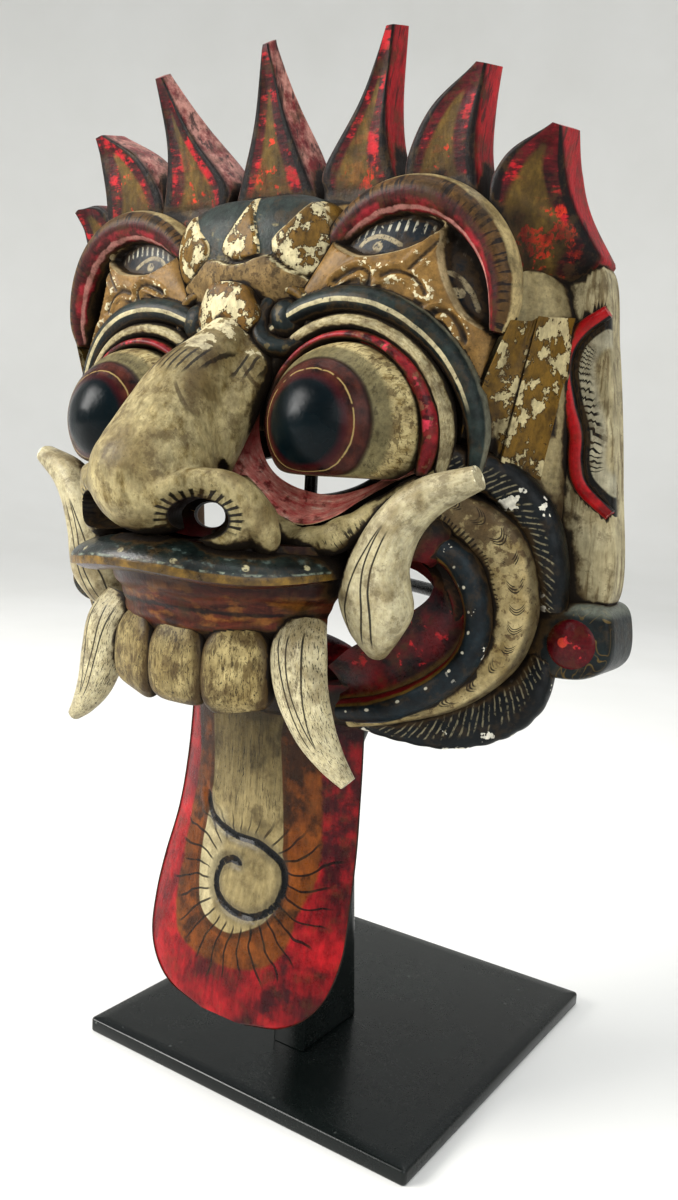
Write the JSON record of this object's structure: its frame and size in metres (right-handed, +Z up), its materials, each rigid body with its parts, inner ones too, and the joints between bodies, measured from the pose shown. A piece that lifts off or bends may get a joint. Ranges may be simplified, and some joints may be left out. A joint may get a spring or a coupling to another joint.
{
  "type": "dragon mask",
  "caption": "Carved, painted wooden dragon mask with a flame crest, bulging eyes, tusks and a long hanging tongue, held up by a bent rod on a black steel stand.",
  "frame": {"origin": "centre of the base plate's underside", "axes": "+Z up, the mask looks along -Y, +X is the viewer's right when facing it"},
  "size_m": [0.255, 0.2405, 0.392],
  "materials": {
    "painted_wood": "hand-painted, worn, with dark wash in the creases",
    "black_steel": "satin black coating"
  },
  "bodies": {
    "root": {"mask": "painted_wood", "base_plate": "black_steel", "post": "black_steel", "cradle": "black_steel"}
  },
  "joints": []
}
